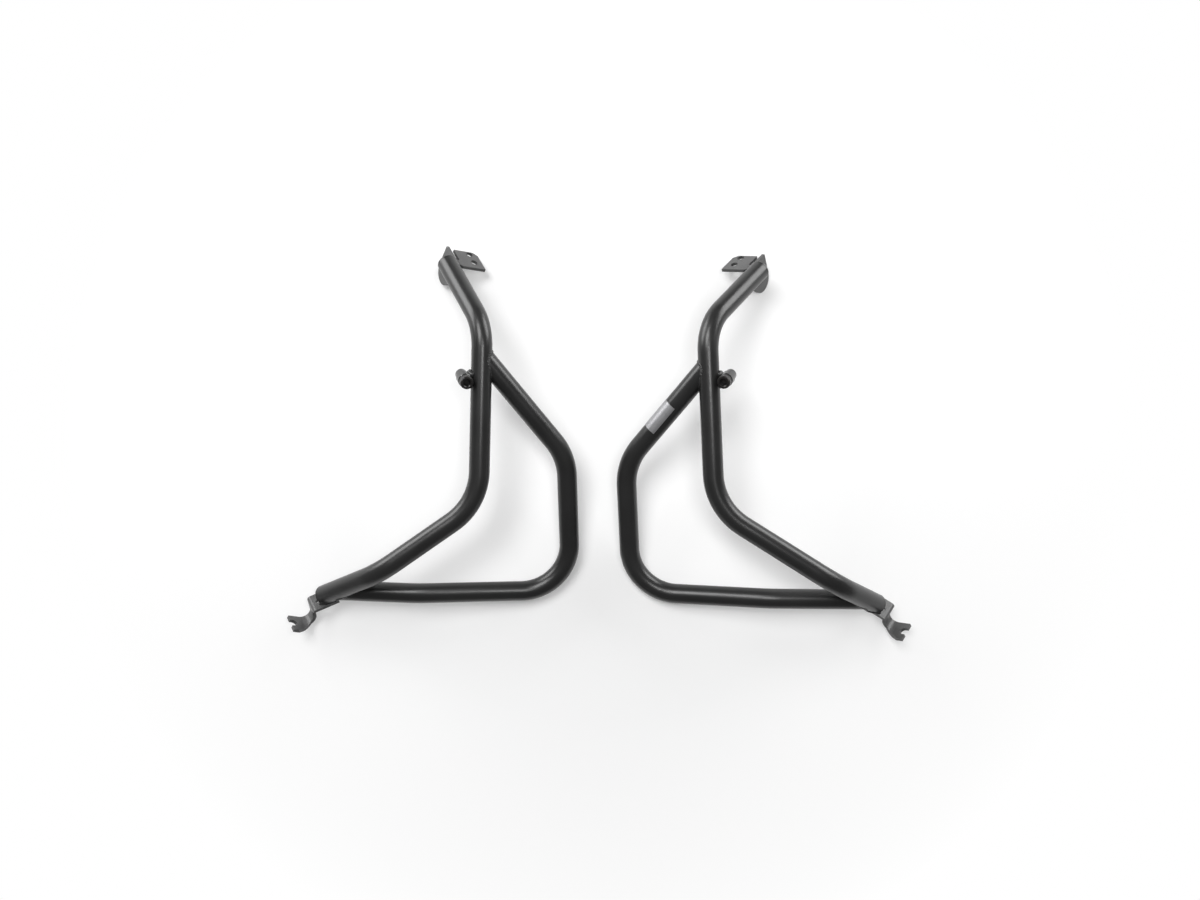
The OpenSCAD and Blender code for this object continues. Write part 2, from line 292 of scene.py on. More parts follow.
# Black oxide on the bolts: dark metal with a faint brown bloom
boltBlack = {
    "dark": (0.022, 0.022, 0.024, 1),
    "light": (0.045, 0.041, 0.038, 1),
    "metallic": 0.7,
    "roughness": 0.32,
    "grainGloss": 0.12,
    "bloomScale": 240,
    "grainScale": 1800,
    "grainDepth": 0.02,
}


def blackOxide():
    shader, output = newMaterial("boltBlackOxide")
    place = shader.place()
    bloom = shader.noise(place, boltBlack["bloomScale"], 3)
    grain = shader.noise(place, boltBlack["grainScale"], 2)
    shade = shader.ramp(bloom, (0.3, boltBlack["dark"]), (0.75, boltBlack["light"]))
    surface = {
        "Base Color": shade,
        "Metallic": boltBlack["metallic"],
        "Roughness": boltBlack["roughness"] + (grain - 0.5) * boltBlack["grainGloss"],
        "Normal": shader.bump(grain * boltBlack["grainDepth"]),
    }
    return closeMaterial(shader, output, surface)


# Plain foil label: brushed across, with soft creases
foil = {
    "dark": (0.25, 0.25, 0.26, 1),
    "light": (0.40, 0.40, 0.41, 1),
    "metallic": 0.85,
    "roughness": 0.42,
    "brushGloss": 0.2,
    "brushTurn": 0.66,
    "brushStretch": 18,
    "brushScale": 420,
    "brushDepth": 0.01,
    "creaseScale": 150,
    "creaseDepth": 0.12,
}


def labelFoil():
    shader, output = newMaterial("labelFoil")
    place = shader.place()
    across = shader.wire(
        "ShaderNodeMapping",
        None,
        {"Vector": place, "Rotation": (0, 0, foil["brushTurn"]), "Scale": (1, foil["brushStretch"], 1)},
    )
    brushed = shader.noise(across, foil["brushScale"], 3, 0.6)
    creases = shader.noise(place, foil["creaseScale"], 2)
    shade = shader.ramp(brushed, (0.3, foil["dark"]), (0.7, foil["light"]))
    surface = {
        "Base Color": shade,
        "Metallic": foil["metallic"],
        "Roughness": foil["roughness"] + (brushed - 0.5) * foil["brushGloss"],
        "Normal": shader.bump(creases * foil["creaseDepth"] + brushed * foil["brushDepth"]),
    }
    return closeMaterial(shader, output, surface)


boltMaterial = blackOxide()
foilMaterial = labelFoil()
print("crash bars: materials made")


# Frames and paths in millimetres
def frameOf(x, y, z, origin):
    rows = [(x[i], y[i], z[i], origin[i]) for i in range(3)]
    return Matrix(rows + [(0, 0, 0, 1)])


def along(direction, origin):
    z = direction.normalized()
    x = Vector((0, 0, 1)).cross(z).normalized()
    return frameOf(x, z.cross(x), z, origin)


# From a bar's own millimetres to metres in the shared frame
def rowMatrix(bar):
    toMiddle = Matrix.Translation(-Vector(layout["middle"]))
    return Matrix.Scale(0.001, 4) @ toMiddle @ Matrix.Diagonal((bar["mirror"], 1, 1, 1))


def topFrame(bar):
    roll = Matrix.Rotation(radians(bar["topRoll"] + 180), 4, "Z")
    return along(bar["topEnd"] - bar["shoulder"], bar["topEnd"]) @ roll


def strapFrame(bar):
    x = bar["strapOut"].normalized()
    across = bar["strapAcross"]
    z = (across - x * across.dot(x)).normalized()
    return frameOf(x, x.cross(z), z, bar["strapCorner"])


# Runs between corners, joined by circular bends
def roundedPath(corners, radii):
    path = [corners[0]]
    for i in range(1, len(corners) - 1):
        before = (corners[i] - corners[i - 1]).normalized()
        after = (corners[i + 1] - corners[i]).normalized()
        angle = before.angle(after)
        start = corners[i] - before * radii[i] * tan(angle / 2)
        inward = (after - before * before.dot(after)).normalized()
        centre = start + inward * radii[i]
        steps = max(2, ceil(angle / radians(tube["bendStep"])))
        for k in range(steps + 1):
            t = angle * k / steps
            path.append(centre - inward * radii[i] * cos(t) + before * radii[i] * sin(t))
    path.append(corners[-1])
    return path


def loopEnds(bar):
    drop = Vector((0, 0, tube["loopDrop"]))
    start = bar["shoulder"].lerp(bar["elbow"], bar["loopStart"]) - drop
    finish = bar["ankle"].lerp(bar["footEnd"], bar["loopFinish"]) - drop
    return start, finish


def mainPath(bar):
    corners = [bar["topEnd"], bar["shoulder"], bar["elbow"], bar["ankle"], bar["footEnd"]]
    return roundedPath(corners, [0, tube["tightBend"], tube["wideBend"], tube["wideBend"], 0])


def loopPath(bar):
    start, finish = loopEnds(bar)
    corners = [start, bar["loopHigh"], bar["loopLow"], bar["loopKink"], finish]
    return roundedPath(corners, [0, tube["wideBend"], tube["tightBend"], tube["slackBend"], 0])


# Geometry Nodes: a small builder, and the trees that the pieces use
class Tree:
    def __init__(self, name, inputs):
        self.group = bpy.data.node_groups.new(name, "GeometryNodeTree")
        face = self.group.interface
        face.new_socket("Geometry", in_out="OUTPUT", socket_type="NodeSocketGeometry")
        face.new_socket("Geometry", in_out="INPUT", socket_type="NodeSocketGeometry")
        self.idOf = {}
        for socketName, (kind, value) in inputs.items():
            socket = face.new_socket(socketName, in_out="INPUT", socket_type=kind)
            if value is not None:
                socket.default_value = value
            self.idOf[socketName] = socket.identifier
        self.source = self.group.nodes.new("NodeGroupInput")
        self.sink = self.group.nodes.new("NodeGroupOutput")

    def take(self, name):
        return self.source.outputs[name]

    def add(self, kind, settings=None, values=None):
        node = self.group.nodes.new(kind)
        for name, value in (settings or {}).items():
            setattr(node, name, value)
        for name, value in (values or {}).items():
            if isinstance(value, bpy.types.NodeSocket):
                self.group.links.new(value, node.inputs[name])
            else:
                node.inputs[name].default_value = value
        return node

    def maths(self, operation, first, second):
        return self.add("ShaderNodeMath", {"operation": operation}, {0: first, 1: second}).outputs[0]

    def finish(self, geometry):
        whole = self.add("GeometryNodeRealizeInstances", None, {"Geometry": geometry})
        painted = self.add(
            "GeometryNodeSetMaterial",
            None,
            {"Geometry": whole.outputs[0], "Material": self.take("Material")},
        )
        self.group.links.new(painted.outputs[0], self.sink.inputs[0])


def tubeTree():
    tree = Tree(
        "tubeAlongPath",
        {
            "Radius": ("NodeSocketFloat", tube["radius"]),
            "Sides": ("NodeSocketInt", tube["sides"]),
            "Material": ("NodeSocketMaterial", None),
        },
    )
    path = tree.add("GeometryNodeMeshToCurve", None, {"Mesh": tree.take("Geometry")})
    ring = tree.add(
        "GeometryNodeCurvePrimitiveCircle",
        None,
        {"Resolution": tree.take("Sides"), "Radius": tree.take("Radius")},
    )
    swept = tree.add(
        "GeometryNodeCurveToMesh",
        None,
        {"Curve": path.outputs[0], "Profile Curve": ring.outputs["Curve"], "Fill Caps": True},
    )
    tree.finish(swept.outputs[0])
    return tree


# Weld bead: a core along the seam with one rounded ripple after another on it
def beadTree():
    tree = Tree(
        "weldBeadAlongSeam",
        {
            "Bead Radius": ("NodeSocketFloat", 2.4),
            "Ripple Spacing": ("NodeSocketFloat", 1.9),
            "Ripple Width": ("NodeSocketFloat", 0.62),
            "Unevenness": ("NodeSocketFloat", 0.07),
            "Seed": ("NodeSocketInt", 3),
            "Material": ("NodeSocketMaterial", None),
        },
    )
    seam = tree.add("GeometryNodeMeshToCurve", None, {"Mesh": tree.take("Geometry")})
    spaced = tree.add(
        "GeometryNodeResampleCurve",
        {"mode": "LENGTH"},
        {"Curve": seam.outputs[0], "Length": tree.take("Ripple Spacing")},
    )
    # The core is a little thinner than its ripples
    coreRadius = tree.maths("MULTIPLY", tree.take("Bead Radius"), 0.86)
    ring = tree.add("GeometryNodeCurvePrimitiveCircle", None, {"Resolution": 14, "Radius": coreRadius})
    core = tree.add(
        "GeometryNodeCurveToMesh",
        None,
        {"Curve": spaced.outputs[0], "Profile Curve": ring.outputs["Curve"], "Fill Caps": True},
    )
    ball = tree.add(
        "GeometryNodeMeshUVSphere", None, {"Segments": 16, "Rings": 10, "Radius": tree.take("Bead Radius")}
    )
    tangent = tree.add("GeometryNodeInputTangent")
    facing = tree.add("FunctionNodeAlignEulerToVector", {"axis": "Z"}, {"Vector": tangent.outputs[0]})
    low = tree.maths("SUBTRACT", 1.0, tree.take("Unevenness"))
    high = tree.maths("ADD", 1.0, tree.take("Unevenness"))
    swell = tree.add(
        "FunctionNodeRandomValue",
        {"data_type": "FLOAT"},
        {2: low, 3: high, "Seed": tree.take("Seed")},
    )
    size = swell.outputs[1]
    squash = tree.maths("MULTIPLY", size, tree.take("Ripple Width"))
    shape = tree.add("ShaderNodeCombineXYZ", None, {"X": size, "Y": size, "Z": squash})
    ripples = tree.add(
        "GeometryNodeInstanceOnPoints",
        None,
        {
            "Points": spaced.outputs[0],
            "Instance": ball.outputs["Mesh"],
            "Rotation": facing.outputs[0],
            "Scale": shape.outputs[0],
        },
    )
    together = tree.add("GeometryNodeJoinGeometry")
    tree.group.links.new(core.outputs[0], together.inputs[0])
    tree.group.links.new(ripples.outputs[0], together.inputs[0])
    tree.finish(together.outputs[0])
    return tree


trees = {"tube": tubeTree(), "bead": beadTree()}


# Runs a tree on a path and keeps the result as a plain mesh object
def grow(name, tree, path, values, closed=False):
    mesh = bpy.data.meshes.new(name + "Path")
    last = len(path) if closed else len(path) - 1
    edges = [(i, (i + 1) % len(path)) for i in range(last)]
    mesh.from_pydata([tuple(p) for p in path], edges, [])
    carrier = bpy.data.objects.new(name + "Path", mesh)
    scene.collection.objects.link(carrier)
    modifier = carrier.modifiers.new("tree", "NODES")
    modifier.node_group = tree.group
    for socketName, value in values.items():
        modifier[tree.idOf[socketName]] = value
    bpy.context.view_layer.update()
    evaluated = carrier.evaluated_get(bpy.context.evaluated_depsgraph_get())
    grown = bpy.data.meshes.new_from_object(evaluated)
    bpy.data.objects.remove(carrier)
    bpy.data.meshes.remove(mesh)
    return grown


def fromBmesh(name, made):
    mesh = bpy.data.meshes.new(name)
    made.to_mesh(mesh)
    made.free()
    return mesh


# The mesh becomes a piece: merged, faced outward, smooth except at its sharp edges
def finishPiece(name, mesh, material, replaced, sharp=32, flat=False):
    made = bmesh.new()
    made.from_mesh(mesh)
    bmesh.ops.remove_doubles(made, verts=made.verts, dist=1e-6)
    bmesh.ops.recalc_face_normals(made, faces=made.faces)
    made.to_mesh(mesh)
    made.free()
    mesh.name = name
    mesh.materials.clear()
    mesh.materials.append(material)
    for face in mesh.polygons:
        face.use_smooth = True
        face.material_index = 0
    mesh.set_sharp_from_angle(angle=radians(sharp))
    if flat:
        settings = {"mode": "FACE_AREA", "weight": 60, "keep_sharp": True}
        mesh = withModifier(mesh, "WEIGHTED_NORMAL", settings)
        mesh.name = name
    piece = bpy.data.objects.new(name, mesh)
    scene.collection.objects.link(piece)
    if replaced:
        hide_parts(*replaced)
    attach(piece, "root")
    return piece


# Applies one modifier and keeps the result as a plain mesh
def withModifier(mesh, kind, settings):
    carrier = bpy.data.objects.new("carrier", mesh)
    scene.collection.objects.link(carrier)
    modifier = carrier.modifiers.new(kind, kind)
    for name, value in settings.items():
        setattr(modifier, name, value)
    bpy.context.view_layer.update()
    evaluated = carrier.evaluated_get(bpy.context.evaluated_depsgraph_get())
    result = bpy.data.meshes.new_from_object(evaluated)
    bpy.data.objects.remove(carrier)
    return result


def moved(mesh, matrix):
    mesh.transform(matrix)
    if matrix.determinant() < 0:
        mesh.flip_normals()
    return mesh


# Side walls between rings of as many points each
def ringWalls(made, rings):
    for low, high in zip(rings, rings[1:]):
        for k in range(len(low)):
            after = (k + 1) % len(low)
            made.faces.new((low[k], low[after], high[after], high[k]))


# A solid turned from a profile of (radius, height) pairs about its own z axis
def turned(name, profile, sides):
    made = bmesh.new()
    rings = []
    for radius, height in profile:
        ring = []
        for k in range(sides):
            a = 2 * pi * k / sides
            ring.append(made.verts.new((radius * cos(a), radius * sin(a), height)))
        rings.append(ring)
    ringWalls(made, rings)
    for ring in (rings[0], rings[-1]):
        if (ring[0].co - ring[1].co).length > 1e-6:
            made.faces.new(ring)
    return fromBmesh(name, made)


# Straight extrusion of an outline of (x, y) points
def extruded(name, outline, depth):
    made = bmesh.new()
    base = [made.verts.new((x, y, 0)) for x, y in outline]
    top = [made.verts.new((x, y, depth)) for x, y in outline]
    made.faces.new(list(reversed(base)))
    made.faces.new(top)
    count = len(outline)
    for k in range(count):
        made.faces.new((base[k], base[(k + 1) % count], top[(k + 1) % count], top[k]))
    bmesh.ops.recalc_face_normals(made, faces=made.faces)
    return fromBmesh(name, made)


def arc(centre, radius, start, end, steps):
    angles = [radians(start + (end - start) * k / steps) for k in range(steps + 1)]
    return [(centre[0] + radius * cos(a), centre[1] + radius * sin(a)) for a in angles]


# A drill centred on its own z axis, long enough for any of the plates
def drill(diameter, sides):
    return turned("drill", [(diameter / 2, -8), (diameter / 2, 8)], sides)


def combined(mesh, others, operation):
    carrier = bpy.data.objects.new("carrier", mesh)
    scene.collection.objects.link(carrier)
    cutters = []
    for other in others:
        cutter = bpy.data.objects.new("cutter", other)
        scene.collection.objects.link(cutter)
        cutters.append(cutter)
        modifier = carrier.modifiers.new("cut", "BOOLEAN")
        modifier.operation = operation
        modifier.solver = "EXACT"
        modifier.object = cutter
    bpy.context.view_layer.update()
    evaluated = carrier.evaluated_get(bpy.context.evaluated_depsgraph_get())
    result = bpy.data.meshes.new_from_object(evaluated)
    for made in cutters + [carrier]:
        bpy.data.objects.remove(made)
    return result


# Flat faces are joined up before the edges are rounded
def roundedEdges(mesh, width, segments=2):
    made = bmesh.new()
    made.from_mesh(mesh)
    bmesh.ops.remove_doubles(made, verts=made.verts, dist=1e-4)
    bmesh.ops.dissolve_limit(made, angle_limit=radians(1), verts=made.verts, edges=made.edges)
    made.to_mesh(mesh)
    made.free()
    settings = {"width": width, "segments": segments, "limit_method": "ANGLE", "angle_limit": radians(30)}
    return withModifier(mesh, "BEVEL", settings)


# The tube's foot end stops inside the strap's plate
def footPlane(bar):
    strap = strapFrame(bar)
    point = strap @ Vector((0, -tube["footSink"], 0))
    return point, (strap.to_3x3() @ Vector((0, 1, 0))).normalized()


def cutBelow(mesh, plane):
    made = bmesh.new()
    made.from_mesh(mesh)
    point, normal = plane
    geometry = made.verts[:] + made.edges[:] + made.faces[:]
    cut = bmesh.ops.bisect_plane(made, geom=geometry, plane_co=point, plane_no=normal, clear_inner=True)
    rim = [e for e in cut["geom_cut"] if isinstance(e, bmesh.types.BMEdge)]
    if rim:
        bmesh.ops.holes_fill(made, edges=rim)
    made.to_mesh(mesh)
    made.free()


# Main tubes and loops
def bentTube(name, bar, path, node, plane=None):
    values = {"Radius": tube["radius"], "Sides": tube["sides"], "Material": coatOf["tube"]}
    body = grow(name, trees["tube"], path, values)
    if plane:
        cutBelow(body, plane)
    moved(body, rowMatrix(bar))
    return finishPiece(name, body, coatOf["tube"], [node])


# End caps with a rounded rim
def endCap(name, bar, matrix, node, plane=None):
    r, t, q, crown = tube["radius"], tube["capThickness"], tube["capRound"], tube["capCrown"]
    tucked = [(r - tube["capInset"], -tube["capTuck"]), (r, 0)]
    rim = [(r - q + q * sin(radians(a)), t - q + q * cos(radians(a))) for a in range(90, -1, -15)]
    profile = tucked + rim + [(r - tube["capDish"], t + crown / 2), (0.01, t + crown)]
    body = turned(name, profile, tube["sides"])
    moved(body, matrix)
    if plane:
        cutBelow(body, plane)
    moved(body, rowMatrix(bar))
    return finishPiece(name, body, coatOf["tube"], [node], sharp=50)


for side, bar in bars.items():
    plane = footPlane(bar)
    footFrame = along(bar["footEnd"] - bar["ankle"], bar["footEnd"])
    bentTube(side + "MainTube", bar, mainPath(bar), side + "_main_tube", plane)
    bentTube(side + "LoopTube", bar, loopPath(bar), side + "_loop_tube")
    endCap(side + "TopCap", bar, topFrame(bar), side + "_top_cap")
    endCap(side + "FootCap", bar, footFrame, side + "_foot_cap", plane)
print("crash bars: tubes made")


def bracketPiece(name, body, node):
    return finishPiece(name, body, coatOf["bracket"], [node], sharp=50, flat=True)


# Top plate: a flange let into the tube's side and a two-hole leaf, joined by a neck
topPlate = {
    "thickness": 4,
    "flangeX": 9,
    "flangeTop": -4.6,
    "flangeFront": 32,
    "flangeWidth": 36,
    "flangeDepth": 39,
    "leafGap": 4.2,
    "leafWidth": 31.5,
    "leafLength": 33.5,
    "leafFront": 26.5,
    "leafFall": 3,
    "leafCorner": 5.5,
    "neckLength": 9,
    "neckClear": 0.5,
    "neckChamfer": 1.2,
    "holeDiameter": 9,
    "holePitch": 16.5,
    "holeAcross": 0.64,
    "holeAlong": 19.5,
    "edgeRound": 0.45,
}


def topPlateBody(side, bar):
    p = topPlate
    t, fx, top = p["thickness"], p["flangeX"], p["flangeTop"]
    front, width, depth = p["flangeFront"], p["flangeWidth"], p["flangeDepth"]
    r = width / 2
    # Flange outline as (s, y): s along the tube, y down the flange
    outline = [(front, top)] + arc((front - r, depth - r), r, 0, 180, 36) + [(front - width, top)]
    flange = extruded("flange", outline, t)
    moved(flange, Matrix(((0, 0, 1, fx), (0, 1, 0, 0), (1, 0, 0, 0), (0, 0, 0, 1))))
    x0 = fx + t + p["leafGap"]
    x1 = x0 + p["leafWidth"]
    s0, fall, corner = p["leafFront"], p["leafFall"], p["leafCorner"]
    back = s0 - p["leafLength"]
    rear = front - width
    leafOutline = [
        (x0, s0),
        (x1 - corner, s0 - fall + corner * fall / p["leafWidth"]),
        (x1, s0 - fall - corner),
        (x1, back - fall),
        (x0, back),
        (tube["radius"] + p["neckClear"], rear),
        (fx + t / 2, rear),
        (fx + t / 2, rear + p["neckLength"]),
        (x0 - p["neckChamfer"], rear + p["neckLength"]),
        (x0, rear + p["neckLength"] + p["neckChamfer"]),
    ]
    leaf = extruded("leaf", leafOutline, t)
    moved(leaf, Matrix(((1, 0, 0, 0), (0, 0, 1, top), (0, 1, 0, 0), (0, 0, 0, 1))))
    body = combined(flange, [leaf], "UNION")
    holes = []
    for i in range(2):
        hole = drill(p["holeDiameter"], 40)
        across = x0 + p["leafWidth"] * p["holeAcross"]
        place = Matrix.Translation((across, top + t / 2, p["holeAlong"] - i * p["holePitch"]))
        holes.append(moved(hole, place @ Matrix.Rotation(pi / 2, 4, "X")))
    body = combined(body, holes, "DIFFERENCE")
    body = roundedEdges(body, p["edgeRound"])
    moved(body, rowMatrix(bar) @ topFrame(bar))
    return bracketPiece(side + "TopPlate", body, side + "_top_plate")


# Foot strap: a plate under the tube's end, folded down, hooked round and slotted
footStrap = {
    "thickness": 4,
    "width": 27.5,
    "waist": 15,
    "plateLength": 32,
    "legAngle": 88,
    "legLength": 18,
    "hookRadius": 9.5,
    "riseAngle": 40.5,
    "riseLength": 15.4,
    "slotWidth": 10.5,
    "slotDepth": 8,
    "ventDiameter": 5,
    "ventBack": 8.3,
    "foldRadius": 2.6,
    "foldSteps": 8,
    "hookSteps": 30,
    "edgeRound": 0.5,
}


def strapMidline():
    p = footStrap
    leg, rise = radians(p["legAngle"]), radians(p["riseAngle"])
    m = p["hookRadius"] + p["thickness"] / 2
    legEnd = Vector((p["legLength"] * cos(leg), -p["legLength"] * sin(leg)))
    centre = legEnd + m * Vector((sin(leg), cos(leg)))
    path = [Vector((-p["plateLength"], 0))]
    # Fold between the plate and the leg
    fold = p["foldRadius"]
    reach = fold * tan(leg / 2)
    for k in range(p["foldSteps"] + 1):
        a = leg * k / p["foldSteps"]
        path.append(Vector((-reach + fold * sin(a), -fold + fold * cos(a))))
    steps = p["hookSteps"]
    first = 270 - p["legAngle"]
    last = 270 + p["riseAngle"]
    for k in range(steps + 1):
        a = radians(first + (last - first) * k / steps)
        path.append(centre + m * Vector((cos(a), sin(a))))
    path.append(path[-1] + p["riseLength"] * Vector((cos(rise), sin(rise))))
    return [q - Vector((0, p["thickness"] / 2)) for q in path]


def ribbonOutline(path, half):
    sideA, sideB = [], []
    for i, q in enumerate(path):
        before = (q - path[i - 1]).normalized() if i else (path[1] - q).normalized()
        after = (path[i + 1] - q).normalized() if i < len(path) - 1 else before
        tangent = (before + after).normalized()
        normal = Vector((-tangent.y, tangent.x)) * half / max(0.5, tangent.dot(before))
        sideA.append(tuple(q + normal))
        sideB.append(tuple(q - normal))
    return sideA + sideB[::-1]


# What the blank loses beside the leg, and beside the hook up to the fork. Sizes
# beyond the blank only have to be large enough to clear it.
def waistCuts():
    p = footStrap
    leg, rise = radians(p["legAngle"]), radians(p["riseAngle"])
    m = p["hookRadius"] + p["thickness"] / 2
    centre = p["legLength"] * cos(leg) + m * sin(leg)
    riseStart = centre + m * sin(rise)
    end, beyond, reach = p["legLength"] * 2 / 3, p["width"] + 20, p["hookRadius"]
    outline = [
        (p["width"], -p["thickness"]),
        (p["waist"], -end),
        (p["waist"], -end - 1),
        (beyond, -end - 1),
        (beyond, -p["thickness"]),
    ]
    beside = extruded("besideLeg", outline, 2 * reach)
    moved(beside, Matrix(((0, 0, -1, reach), (0, 1, 0, 0), (1, 0, 0, 0), (0, 0, 0, 1))))
    outline = [
        (-reach, p["waist"]),
        (centre - 4, p["waist"]),
        (riseStart + 6, p["width"]),
        (riseStart + 6, beyond),
        (-reach, beyond),
    ]
    below = extruded("besideHook", outline, 60)
    moved(below, Matrix(((1, 0, 0, 0), (0, 0, -1, -end), (0, 1, 0, 0), (0, 0, 0, 1))))
    return [beside, below]


def footStrapBody(side, bar):
    p = footStrap
    path = strapMidline()
    body = extruded("strap", ribbonOutline(path, p["thickness"] / 2), p["width"])
    rise = radians(p["riseAngle"])
    tip = path[-1]
    slotFrame = (
        Matrix.Translation((tip.x, tip.y, p["width"] / 2))
        @ Matrix.Rotation(rise, 4, "Z")
        @ Matrix.Rotation(pi / 2, 4, "X")
    )
    r = p["slotWidth"] / 2
    outline = arc((r - p["slotDepth"], 0), r, 90, 270, 24) + [(5, -r), (5, r)]
    slot = extruded("slot", outline, 12)
    moved(slot, slotFrame @ Matrix.Translation((0, 0, -6)))
    ventPlace = Matrix.Translation((-p["ventBack"], 0, p["width"] / 2))
    vent = moved(drill(p["ventDiameter"], 28), ventPlace @ Matrix.Rotation(pi / 2, 4, "X"))
    body = combined(body, waistCuts() + [slot, vent], "DIFFERENCE")
    body = roundedEdges(body, p["edgeRound"])
    moved(body, rowMatrix(bar) @ strapFrame(bar))
    return bracketPiece(side + "FootStrap", body, side + "_foot_strap")


for side, bar in bars.items():
    topPlateBody(side, bar)
    footStrapBody(side, bar)
print("crash bars: plates made")


# Bush and bolt of the middle fixing. Their frame has z from the seat under the head.
bolt = {
    "diameter": 10,
    "length": 30,
    "headDiameter": 16,
    "headHeight": 10,
    "headChamfer": 0.9,
    "ribs": 48,
    "ribDepth": 0.22,
    "socketFlats": 8,
    "socketDepth": 5,
    "socketChamfer": 0.5,
    "threadPitch": 1.5,
    "threadDepth": 0.75,
    "threadLength": 16,
    "threadSides": 48,
    "stepsPerTurn": 8,
    "tipLength": 1.2,
    "tipTaper": 0.9,
}
bush = {
    "bore": 10.5,
    "diameter": 17,
    "wideLength": 13,
    "noseDiameter": 14,
    "chamfer": 0.7,
}


def boltFrame(bar):
    direction = (bar["bushEnd"] - bar["boltFace"]).normalized()
    return along(direction, bar["boltFace"] + direction * bolt["headHeight"])


def boltHead():
    p = bolt
    r, h, c = p["headDiameter"] / 2, p["headHeight"], p["headChamfer"]
    sides = p["ribs"] * 4
    made = bmesh.new()
    # Radius, height and whether the ring is ribbed
    profile = [
        (r - 0.4, 0, False),
        (r, -0.5, True),
        (r, -h + c + 0.4, True),
        (r - c, -h + 0.05, False),
        (r - c - 0.35, -h, False),
    ]
    rings = []
    for radius, height, ribbed in profile:
        ring = []
        for k in range(sides):
            a = 2 * pi * k / sides
            dip = p["ribDepth"] * abs((k % 4) - 2) / 2 if ribbed else 0
            ring.append(made.verts.new(((radius - dip) * cos(a), (radius - dip) * sin(a), height)))
        rings.append(ring)
    ringWalls(made, rings)
    made.faces.new(rings[0])
    made.faces.new(rings[-1])
    bmesh.ops.recalc_face_normals(made, faces=made.faces)
    head = fromBmesh("head", made)
    flats = p["socketFlats"] / 2 / cos(pi / 6)
    outline = [(flats * cos(pi / 3 * k), flats * sin(pi / 3 * k)) for k in range(6)]
    socket = extruded("socket", outline, p["socketDepth"] + 1)
    moved(socket, Matrix.Translation((0, 0, -h - 1)))
    mouth = flats + p["socketChamfer"]
    funnel = turned("funnel", [(mouth + 1, -h - 1), (mouth - 1.25, -h + 1.25)], 48)
    return combined(head, [socket, funnel], "DIFFERENCE")


# Shank, then a thread whose radius follows the helix
def boltShank():
    p = bolt
    r, end, sides = p["diameter"] / 2, p["length"], p["threadSides"]
    threadStart = end - p["threadLength"]
    # Radius, height and how deep the thread is cut there
    profile = [(r, -0.6, 0), (r, threadStart, 0)]
    steps = int(p["threadLength"] / p["threadPitch"] * p["stepsPerTurn"])
    for k in range(steps + 1):
        z = threadStart + p["threadLength"] * k / steps
        taper = 1 - min(1, (end - z) / p["tipLength"])
        profile.append((r - taper * p["tipTaper"], z, min(1, k / p["stepsPerTurn"])))
    made = bmesh.new()
    rings = []
    for radius, z, cutting in profile:
        ring = []
        for i in range(sides):
            a = 2 * pi * i / sides
            phase = (z / p["threadPitch"] - i / sides) % 1
            dip = p["threadDepth"] * (1 - abs(2 * phase - 1)) * cutting
            ring.append(made.verts.new(((radius - dip) * cos(a), (radius - dip) * sin(a), z)))
        rings.append(ring)
    ringWalls(made, rings)
    made.faces.new(rings[0])
    made.faces.new(rings[-1])
    bmesh.ops.recalc_face_normals(made, faces=made.faces)
    return fromBmesh("shank", made)


def joined(meshes):
    made = bmesh.new()
    for mesh in meshes:
        made.from_mesh(mesh)
    return fromBmesh("joined", made)


def boltBody(side, bar):
    body = joined([boltHead(), boltShank()])
    moved(body, rowMatrix(bar) @ boltFrame(bar))
    return finishPiece(side + "Bolt", body, boltMaterial, [side + "_bolt"], sharp=28)


def bushBody(side, bar):
    p = bush
    r, n, b, c = p["diameter"] / 2, p["noseDiameter"] / 2, p["bore"] / 2, p["chamfer"]
    length = (bar["bushEnd"] - bar["boltFace"]).length - bolt["headHeight"]
    wide = p["wideLength"]
    profile = [
        (b, c),
        (b + c, 0),
        (r - c, 0),
        (r, c),
        (r, wide - c),
        (r - c, wide),
        (n + 0.4, wide),
        (n, wide + 0.4),
        (n, length - c),
        (n - c, length),
        (b + 0.4, length),
        (b, length - 0.4),
        (b, c),
    ]
    # The profile closes on itself, so the discs that end a turned solid go again
    body = turned("bush", profile, 64)
    made = bmesh.new()
    made.from_mesh(body)
    flat = [f for f in made.faces if len(f.verts) > 4]
    bmesh.ops.delete(made, geom=flat, context="FACES_ONLY")
    bmesh.ops.remove_doubles(made, verts=made.verts, dist=1e-5)
    made.to_mesh(body)
    made.free()
    moved(body, rowMatrix(bar) @ boltFrame(bar))
    return finishPiece(side + "BoltBush", body, coatOf["bush"], [side + "_bolt_bush"], sharp=25)


for side, bar in bars.items():
    bushBody(side, bar)
    boltBody(side, bar)
print("crash bars: bolts and bushes made")


# Weld beads
beads = {
    "loopRadius": 2.6,
    "plateRadius": 2.4,
    "footRadius": 2.4,
    "bushRadius": 3.6,
    "bushLift": 2.0,
    "bushStart": 1.5,
    "bushPoints": 12,
    "sink": 1.2,
    "spacing": 1.9,
    "rippleWidth": 0.62,
    "unevenness": 0.07,
    "footLift": 0.4,
    "seed": 3,
    "skinVoxel": 0.32,
}


